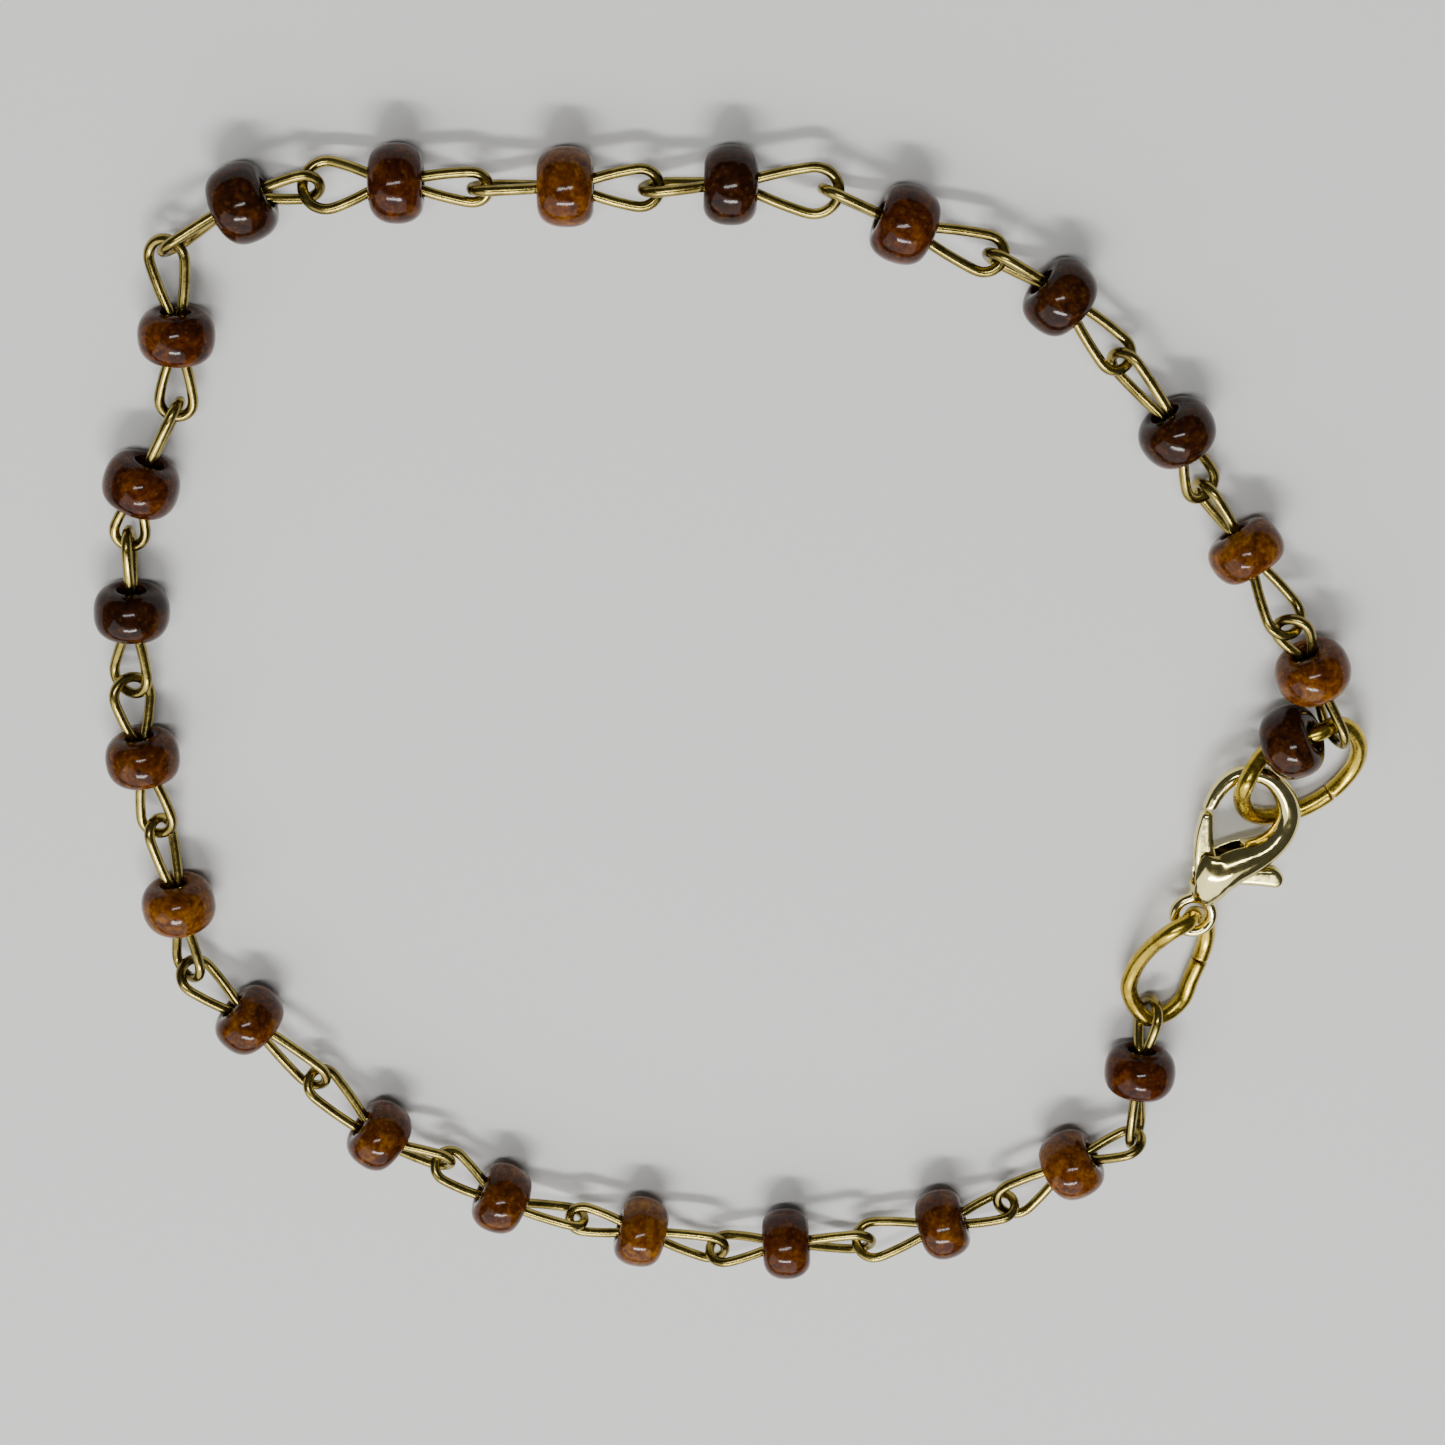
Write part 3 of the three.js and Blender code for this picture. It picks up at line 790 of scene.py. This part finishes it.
@dataclass
class JumpRing:
    """A round wire ring cut once, with the cut pressed almost shut."""

    name: str
    node: str
    points: np.ndarray
    wire: float = 0.92
    split: float = 0.12
    fine_step: float = 0.02
    step: float = 0.16
    broken_edge: float = 0.06
    sides: int = 20
    piece: bpy.types.Object | None = field(default=None, init=False)

    def build(self) -> None:
        """Sweeps the ring from one side of its cut to the other, with the cut's edges broken."""
        loop = spline(self.points, True, 24)
        line = evenly(np.vstack((loop, loop[:1])), self.fine_step)
        trim = round(self.split / 2 / self.fine_step)
        line = evenly(line[trim:-trim], self.step)
        ends = np.array((0.0, self.broken_edge / 3, self.broken_edge))
        line = np.vstack((
            line[0] + np.outer(ends, unit(line[1] - line[0])),
            line[1:-1],
            line[-1] + np.outer(ends[::-1], unit(line[-2] - line[-1])),
        ))
        radii = np.full(len(line), self.wire / 2)
        radii[:2] = radii[-1:-3:-1] = self.wire / 2 - ends[2:0:-1]
        self.piece = make_piece(self.name, tube(line, radii, self.sides))

    def dress(self, material: bpy.types.Material) -> None:
        """Gives the ring its gold plate."""
        self.piece.data.materials.append(material)
        carry(self.piece, "bracelet", self.node)


@dataclass
class LobsterClasp:
    """A cast claw with an eye at its root and a sprung lever that shuts its mouth."""

    layout: Layout
    x: float = 25.4
    y: float = -10.5
    z: float = 1.9
    heading: float = 69.0
    eye_hole: float = 1.45
    eye_band: float = 0.6
    slot_ends: tuple[float, float] = (1.8, 4.45)
    slot_width: float = 1.04
    slot_reach: float = 4.5
    slot_deepening: float = 0.5
    claw_lean: float = 20.0
    mouth_lean: float = 30.0
    pivot: tuple[float, float] = (2.6, 0.15)
    pin_radius: float = 0.35
    pin_length: float = 1.4
    hole_radius: float = 0.45
    lever_thickness: float = 0.84
    lever_edge: float = 0.27
    grain: float = 0.055
    section_sides: int = 32
    eye_rows: int = 48
    eye_sides: int = 20
    body: bpy.types.Object | None = field(default=None, init=False)
    lever: bpy.types.Object | None = field(default=None, init=False)

    def settle(self, piece: bpy.types.Object) -> None:
        """Moves a piece from the clasp's own millimetres to its place in the frame.

        Args:
            piece: The finished casting or lever.
        """
        spot = self.layout.place(np.array((self.x, self.y, self.z)))
        turn = Matrix.Rotation(math.radians(self.heading), 4, "Z")
        piece.data.transform(Matrix.Scale(MM, 4) @ Matrix.Translation(Vector(spot)) @ turn)
        piece.data.polygons.foreach_set("use_smooth", [True] * len(piece.data.polygons))
        piece.data.update()

    def loft(self, table: np.ndarray, face: float = 0.0) -> Shape:
        """Lofts a cast bar through oval sections that stand on the clasp's middle plane.

        Args:
            table: Sections as x, y, width and thickness.
            face: Lean of the first section, in degrees.

        Returns:
            The bar's points and faces.
        """
        rows = spline(table, False, 8)
        headings = np.unwrap(np.arctan2(*np.gradient(rows[:, :2], axis=0).T[::-1]))
        headings[:8] += math.radians(face) * np.linspace(1.0, 0.0, 8)
        angles = (np.arange(self.section_sides) + 0.5) * 2 * math.pi / self.section_sides
        rings = []
        for (x, y, wide, thick), heading in zip(rows, headings):
            out = wide / 2 * np.cos(angles)
            high = thick / 2 * np.sin(angles)
            rings.append(np.column_stack((x - math.sin(heading) * out, y + math.cos(heading) * out, high)))
        return np.vstack(rings), grid_faces(len(rows), self.section_sides, ends=True)

    def eye(self) -> Shape:
        """Makes the round eye that the ring goes through.

        Returns:
            The eye's points and faces.
        """
        radius = (self.eye_hole + self.eye_band) / 2
        round_band = np.arange(self.eye_sides) * 2 * math.pi / self.eye_sides
        reach = radius + self.eye_band / 2 * np.cos(round_band)
        height = self.eye_band / 2 * np.sin(round_band)
        rings = []
        for turn in np.arange(self.eye_rows) * 2 * math.pi / self.eye_rows:
            rings.append(np.column_stack((reach * math.cos(turn), reach * math.sin(turn), height)))
        return np.vstack(rings), grid_faces(self.eye_rows, self.eye_sides, looped=True)

    def pin(self) -> Shape:
        """Makes the pin that the lever turns on.

        Returns:
            The pin's points and faces.
        """
        half = self.pin_length / 2
        ends = np.array(((*self.pivot, -half), (*self.pivot, half)))
        return tube(ends, np.full(2, self.pin_radius), 24)

    def slot(self) -> bpy.types.Object:
        """Makes the cutter of the slot between the two cheeks, deeper on the lever's side.

        Returns:
            The cutter, in the clasp's own millimetres.
        """
        start, end = self.slot_ends
        half = self.slot_width / 2
        wide = self.slot_reach
        deep = end + self.slot_deepening
        ring = np.array((
            (start, -wide), (end, -wide), (end, -0.9), (deep, -0.7), (deep, wide), (start, wide),
        ))
        corners = len(ring)
        points = np.vstack([np.column_stack((ring, np.full(corners, z))) for z in (-half, half)])
        return make_piece("slot_cutter", (points, grid_faces(2, corners, ends=True)), scale=1.0)

    def build_body(self) -> None:
        """Fuses claw, body and eye as one casting, cuts the slot and sets the pin."""
        points, faces = [], []
        forms = self.loft(CLAW, self.claw_lean), self.loft(CLASP_BODY, self.mouth_lean), self.eye()
        for part_points, part_faces in forms:
            start = sum(len(p) for p in points)
            points.append(part_points)
            faces.extend(tuple(c + start for c in face) for face in part_faces)
        self.body = make_piece("clasp_casting", (np.vstack(points), faces), scale=1.0)
        applied(self.body, "REMESH", mode="VOXEL", voxel_size=self.grain)
        applied(self.body, "SMOOTH", factor=0.5, iterations=24)
        cutter = self.slot()
        applied(self.body, "BOOLEAN", operation="DIFFERENCE", solver="EXACT", object=cutter)
        bpy.data.objects.remove(cutter)
        pin = make_piece("lever_pin", self.pin(), scale=1.0)
        applied(self.body, "BOOLEAN", operation="UNION", solver="EXACT", object=pin)
        bpy.data.objects.remove(pin)
        applied(self.body, "REMESH", mode="VOXEL", voxel_size=self.grain)
        applied(self.body, "SMOOTH", factor=0.5, iterations=4)
        self.settle(self.body)

    def build_lever(self) -> None:
        """Casts the lever as a plate with rounded edges and drills it for the pin."""
        outline = spline(LEVER_OUTLINE, True, 6)
        along = np.roll(outline, -1, axis=0) - np.roll(outline, 1, axis=0)
        inward = np.column_stack((-along[:, 1], along[:, 0])) / np.linalg.norm(along, axis=1)[:, None]
        rings = []
        for lean in np.radians(np.linspace(-90, 90, 15)):
            inset = outline + inward * self.lever_edge * (1 - math.cos(lean))
            flat = math.copysign(self.lever_thickness / 2 - self.lever_edge, lean)
            height = flat + self.lever_edge * math.sin(lean)
            rings.append(np.column_stack((inset, np.full(len(outline), height))))
        shape = np.vstack(rings), grid_faces(len(rings), len(outline), ends=True)
        self.lever = make_piece("clasp_thumb_lever", shape, scale=1.0)
        applied(self.lever, "REMESH", mode="VOXEL", voxel_size=self.grain * 0.75)
        applied(self.lever, "SMOOTH", factor=0.5, iterations=6)
        ends = np.array(((*self.pivot, -1.0), (*self.pivot, 1.0)))
        drill = make_piece("lever_drill", tube(ends, np.full(2, self.hole_radius), 32), scale=1.0)
        applied(self.lever, "BOOLEAN", operation="DIFFERENCE", solver="EXACT", object=drill)
        bpy.data.objects.remove(drill)
        self.settle(self.lever)

    def build(self) -> None:
        """Makes both pieces of the clasp."""
        self.build_body()
        self.build_lever()

    def dress(self, material: bpy.types.Material) -> None:
        """Gives both pieces their pale gold and hangs each on its body.

        Args:
            material: The clasp's metal.
        """
        self.body.data.materials.append(material)
        self.lever.data.materials.clear()
        self.lever.data.materials.append(material)
        carry(self.body, "bracelet", "clasp_body")
        carry(self.lever, "lever", "clasp_lever")


@dataclass
class BeadChain:
    """All the linked beads, from the ring bead round to the lower ring."""

    layout: Layout
    beads: list[Bead] = field(default_factory=list)
    links: list[WireLink] = field(default_factory=list)

    def build(self) -> None:
        """Places every bead on the frame's own and bends a link through it."""
        ring_run = unit(UPPER_RING[6] - UPPER_RING[5] - RING_BEAD_DIP)
        self.beads.append(Bead(1, node_middle(bead_name(1)), ring_run, Tone.DEEP))
        for i, row in enumerate(LINK_ROWS):
            middle = node_middle(bead_name(row.bead))
            along = unit(MEETS[i + 1] - MEETS[i])
            meet_in = self.layout.place(MEETS[i] + CORNERS.get(row.bead, (0.0, 0.0, 0.0)))
            meet_out = self.layout.place(MEETS[i + 1])
            bead = Bead(row.bead, middle, along, row.tone)
            bead.length *= row.length
            bead.diameter *= row.girth
            self.beads.append(bead)
            self.links.append(WireLink(row, middle, along, meet_in, meet_out))
        for part in (*self.beads, *self.links):
            part.build()

    def dress(self) -> None:
        """Gives the beads their glass and the links their brass."""
        glass = {tone: finish.material() for tone, finish in GLASS.items()}
        brass = LINK_BRASS.material()
        for bead in self.beads:
            bead.dress(glass)
        for link in self.links:
            link.dress(brass)


# ---------------------------------------------------------------- studio

@dataclass(frozen=True)
class SoftBox:
    """One oblong lamp aimed at the middle of the bracelet."""

    name: str
    place: tuple[float, float, float]
    width: float
    height: float
    watts: float
    tint: str = "#ffffff"

    def build(self, target: Vector) -> None:
        """Hangs the lamp and turns it to the target.

        Args:
            target: Point that the lamp faces.
        """
        lamp = bpy.data.lights.new(self.name, "AREA")
        lamp.shape = "RECTANGLE"
        lamp.size = self.width
        lamp.size_y = self.height
        lamp.energy = self.watts
        lamp.color = linear(self.tint)[:3]
        holder = bpy.data.objects.new(self.name, lamp)
        holder.location = self.place
        holder.rotation_euler = (target - Vector(self.place)).to_track_quat("-Z", "Y").to_euler()
        bpy.context.scene.collection.objects.link(holder)


@dataclass
class Studio:
    """Pale floor, soft lamps and the camera at the photograph's angle."""

    layout: Layout
    tilt: float = 24.0
    distance: float = 0.177
    focal_px: float = 3327.6
    floor_side: float = 3.0
    floor_drop: float = 0.0001
    floor_tint: str = "#dededc"
    air_tint: str = "#9a9c9e"
    air_strength: float = 0.24

    def floor(self) -> None:
        """Lays the plain pale floor."""
        half = self.floor_side / 2
        corners = np.array(((-half, -half), (half, -half), (half, half), (-half, half)))
        points = np.column_stack((corners, np.full(4, -self.floor_drop)))
        floor = make_piece("floor", (points, [(0, 1, 2, 3)]), scale=1.0)
        material = new_material("matt_card")
        shader = add_node(
            material.node_tree, "ShaderNodeBsdfPrincipled",
            values={"Base Color": linear(self.floor_tint), "Roughness": 0.9, "Specular IOR Level": 0.2},
        )
        add_node(material.node_tree, "ShaderNodeOutputMaterial", links={"Surface": shader.outputs["BSDF"]})
        floor.data.materials.append(material)

    def lamps(self) -> None:
        """Hangs two long lamps overhead and a broad dim one on the near side."""
        target = Vector((0.0, 0.0, 0.0))
        boxes = (
            SoftBox("overhead_long_lamp", (-0.02, 0.11, 0.49), 0.26, 0.045, 1.0),
            SoftBox("near_long_lamp", (-0.02, -0.26, 0.44), 0.26, 0.045, 1.8),
            SoftBox("near_broad_lamp", (-0.3, -0.8, 0.7), 1.8, 1.1, 12.0),
        )
        for box in boxes:
            box.build(target)
        world = bpy.data.worlds.new("studio_air")
        world.use_nodes = True
        air = world.node_tree.nodes["Background"].inputs
        air["Color"].default_value = linear(self.air_tint)
        air["Strength"].default_value = self.air_strength
        bpy.context.scene.world = world

    def camera(self) -> None:
        """Stands the camera where the photograph was taken from."""
        lens = bpy.data.cameras.new("camera")
        lens.sensor_width = 36.0
        lens.lens = lens.sensor_width * self.focal_px / IMAGE_SIZE
        lens.clip_start = 0.001
        holder = bpy.data.objects.new("camera", lens)
        lean = math.radians(self.tilt)
        target = self.layout.place(np.zeros(3)) * MM
        holder.location = target + self.distance * np.array((0.0, math.sin(lean), math.cos(lean)))
        holder.rotation_euler = (-lean, 0.0, 0.0)
        bpy.context.scene.collection.objects.link(holder)
        bpy.context.scene.camera = holder

    def build(self) -> None:
        """Sets the floor, the lamps and the camera."""
        self.floor()
        self.lamps()
        self.camera()


def main() -> None:
    """Builds and dresses the bracelet, then the studio around it."""
    logging.basicConfig(level=logging.INFO, format="%(name)s: %(message)s")
    layout = Layout.from_frame()
    chain = BeadChain(layout)
    chain.build()
    chain.dress()
    ring_gold = RING_GOLD.material()
    for ring in (
        JumpRing("upper_jump_ring", "ring_upper", layout.place(UPPER_RING), split=0.08),
        JumpRing("lower_jump_ring", "ring_lower", layout.place(LOWER_RING)),
    ):
        ring.build()
        ring.dress(ring_gold)
    clasp = LobsterClasp(layout)
    clasp.build()
    clasp.dress(CLASP_GOLD.material())
    Studio(layout).build()


if __name__ == "__main__":
    main()
